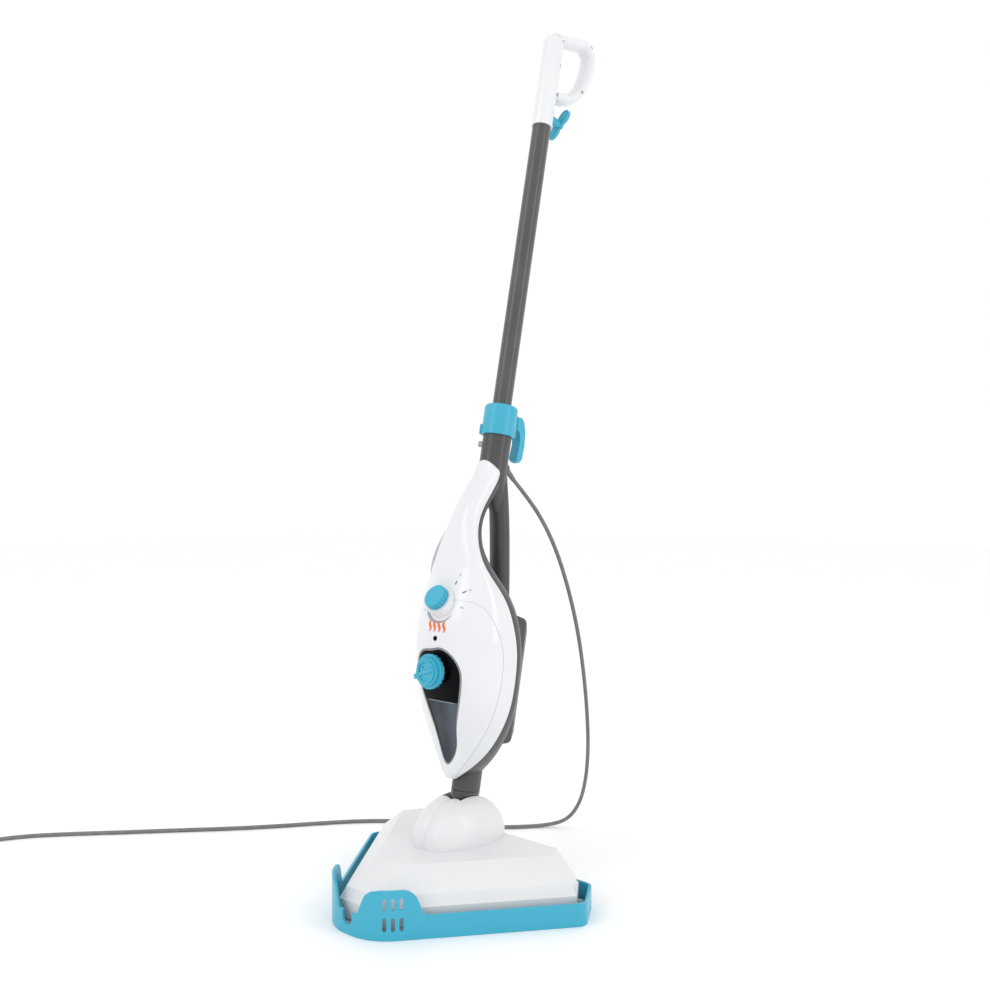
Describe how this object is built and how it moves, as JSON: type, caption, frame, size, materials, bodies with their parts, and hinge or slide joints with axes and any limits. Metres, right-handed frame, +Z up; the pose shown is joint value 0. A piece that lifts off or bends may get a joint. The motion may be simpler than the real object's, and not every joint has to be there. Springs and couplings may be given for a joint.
{
  "type": "steam mop",
  "caption": "Upright steam mop with a triangular glider head, tilting and swivelling neck, tank and boiler body, steel pole, D handle and cord hooks.",
  "frame": {"origin": "on the floor, where the parked pole's axis meets it, in the underside of the glider tray", "axes": "+Z up, -Y towards the head's tip and the controls, +X to the mop's own left as seen from the front"},
  "size_m": [0.9811, 0.7033, 1.1482],
  "materials": {
    "white_gloss": "glossy moulded",
    "blue": "satin moulded",
    "charcoal": "satin moulded",
    "pole_paint": "satin paint",
    "bright_steel": "bright",
    "pale_button": "satin",
    "rubber": "matte",
    "pad_fabric": "microfibre pile",
    "bezel_grey": "satin",
    "black_gloss": "glossy",
    "smoked_clear": "smoked clear",
    "clear_tank": "clear",
    "boiler_metal": "cast",
    "pipe_brass": "bright",
    "pump_case": "matte"
  },
  "bodies": {
    "head": {"glider_tray": "blue", "mop_pad": "pad_fabric", "head_base": "white_gloss", "base_screws": "bright_steel", "head_cover": "white_gloss", "pivot_pin": "bright_steel", "steam_hose": "rubber", "steam_diffuser": "pipe_brass"},
    "neck": {"neck_yoke": "charcoal"},
    "main_body": {"boiler": "boiler_metal", "boiler_outlet": "pipe_brass", "coil_tie": "rubber", "collar": "blue", "control_board": "pump_case", "cord_coil": "rubber", "cord_gland": "charcoal", "cord_tail": "rubber", "cord_tube": "rubber", "dial_ring": "white_gloss", "dial_valve": "charcoal", "front_shell": "white_gloss", "handle_left": "white_gloss", "handle_right": "white_gloss", "handle_screws": "bright_steel", "hook_screw": "bright_steel", "led_lens": "black_gloss", "lower_cord_hook": "blue", "plug_body": "rubber", "plug_pins": "pipe_brass", "pole_tube": "pole_paint", "pump": "pump_case", "pump_hose": "rubber", "rear_cover": "charcoal", "rear_shell": "charcoal", "release_spring": "bright_steel", "strain_relief": "rubber", "swivel_seal": "rubber", "swivel_spigot": "charcoal", "thermostat": "boiler_metal", "water_tank": "clear_tank", "window_bezel": "bezel_grey", "window_lens": "smoked_clear", "window_top": "black_gloss"},
    "cap_washer": {"cap_seal": "rubber"},
    "cap": {"tank_cap": "blue"},
    "dial": {"steam_dial": "blue"},
    "upper_hook": {"upper_cord_hook": "blue"},
    "release": {"release_button": "charcoal"},
    "pole_catch": {"pole_button": "pale_button"}
  },
  "joints": [
    {"name": "head_tilt", "type": "hinge", "parent": "head", "child": "neck", "pos_m": [0, 0.04874, 0.06638], "axis": [-1, 0, 0], "range_deg": [0, 60]},
    {"name": "neck_swivel", "type": "hinge", "parent": "neck", "child": "main_body", "pos_m": [0, 0.04874, 0.06638], "axis": [0, 0.2062, 0.9785], "range_deg": [-90, 90]},
    {"name": "cap_lift", "type": "slide", "parent": "main_body", "child": "cap_washer", "axis": [0, -0.9977, 0.068], "range_m": [0, 0.025]},
    {"name": "cap_turn", "type": "hinge", "parent": "cap_washer", "child": "cap", "pos_m": [0, 0.00333, 0.28136], "axis": [0, -0.9977, 0.068], "range_deg": [0, 90]},
    {"name": "dial_turn", "type": "hinge", "parent": "main_body", "child": "dial", "pos_m": [0, 0.01485, 0.36784], "axis": [0, -0.83, 0.5577], "range_deg": [-30, 120]},
    {"name": "hook_turn", "type": "hinge", "parent": "main_body", "child": "upper_hook", "pos_m": [0, 0.24894, 1.01447], "axis": [0, 0.9785, -0.2062], "range_deg": [-90, 90]},
    {"name": "release_press", "type": "slide", "parent": "main_body", "child": "release", "axis": [0, -0.9785, 0.2062], "range_m": [0, 0.003], "stiffness_N_per_m": 400},
    {"name": "pole_catch_press", "type": "slide", "parent": "main_body", "child": "pole_catch", "axis": [0.766, 0.629, -0.1325], "range_m": [0, 0.003], "stiffness_N_per_m": 400}
  ]
}
